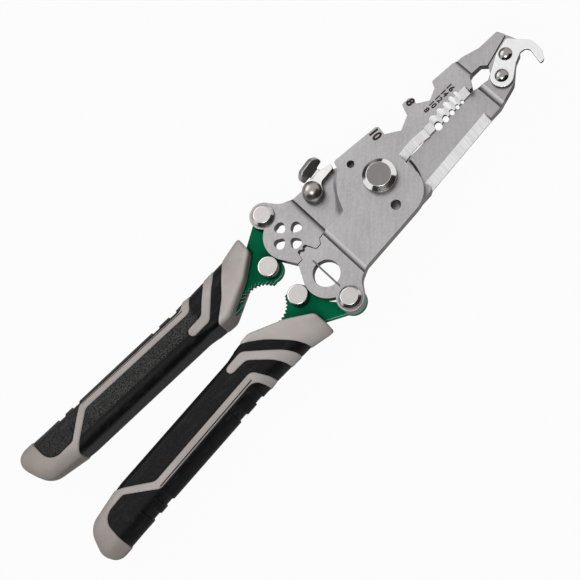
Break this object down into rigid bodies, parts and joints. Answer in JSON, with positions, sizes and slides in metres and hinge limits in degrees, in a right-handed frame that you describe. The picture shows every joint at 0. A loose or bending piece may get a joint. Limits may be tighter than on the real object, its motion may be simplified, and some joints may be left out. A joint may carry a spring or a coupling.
{
  "type": "wire stripping pliers",
  "caption": "Multi-purpose wire stripping pliers with plate jaws, stripping holes, wire cutter, wrench notches, hook blade, thumb lock and fold-out two-colour grips.",
  "frame": {"origin": "on the jaw pivot's axis, at the back face of the pivot nut", "axes": "+X from the handles to the jaw tips, +Y across the tool to the side of the lock lever, +Z out of the front face, towards the viewer of the picture"},
  "size_m": [0.2215, 0.052, 0.0183],
  "materials": {
    "steel_plate": "fine ground satin with a straight grain",
    "bright_steel": "smooth satin",
    "dark_steel": "satin, slightly darker",
    "polished_steel": "polished",
    "green_paint": "glossy coat",
    "grey_grip": "matte, slightly soft",
    "black_grip": "matte, pebbled on the front and back faces"
  },
  "bodies": {
    "front_jaw": {"front_jaw_plate": "steel_plate", "pivot_bolt": "dark_steel", "pivot_nut": "dark_steel", "pivot_washer": "bright_steel", "jaw_spring": "bright_steel", "splitter_blade": "dark_steel", "right_fold_rivet": "bright_steel", "right_fold_washer": "bright_steel"},
    "rear_jaw": {"rear_jaw_plate": "steel_plate", "hook_blade": "bright_steel", "hook_rivets": "polished_steel", "lock_rivet": "polished_steel", "lock_washer": "bright_steel", "left_fold_rivet": "bright_steel", "left_fold_washer": "bright_steel"},
    "lock": {"lock_lever": "polished_steel"},
    "left_handle": {"left_lever": "green_paint", "left_stop_pin": "bright_steel", "left_grip_body": "grey_grip", "left_grip_pad": "black_grip"},
    "right_handle": {"right_lever": "green_paint", "right_stop_pin": "bright_steel", "right_grip_body": "grey_grip", "right_grip_pad": "black_grip"}
  },
  "joints": [
    {"name": "jaw_pivot", "type": "hinge", "parent": "front_jaw", "child": "rear_jaw", "pos_m": [0, 0, 0.0066], "axis": [0, 0, -1], "range_deg": [0, 22]},
    {"name": "lock_swing", "type": "hinge", "parent": "rear_jaw", "child": "lock", "pos_m": [-0.0188, 0.0141, 0.00785], "axis": [0, 0, 1], "range_deg": [0, 30]},
    {"name": "left_fold", "type": "hinge", "parent": "rear_jaw", "child": "left_handle", "pos_m": [-0.0361, 0.0212, 0.0031], "axis": [0, 0, -1], "range_deg": [0, 165]},
    {"name": "right_fold", "type": "hinge", "parent": "front_jaw", "child": "right_handle", "pos_m": [-0.0361, -0.0212, 0.0031], "axis": [0, 0, 1], "range_deg": [0, 165]}
  ]
}
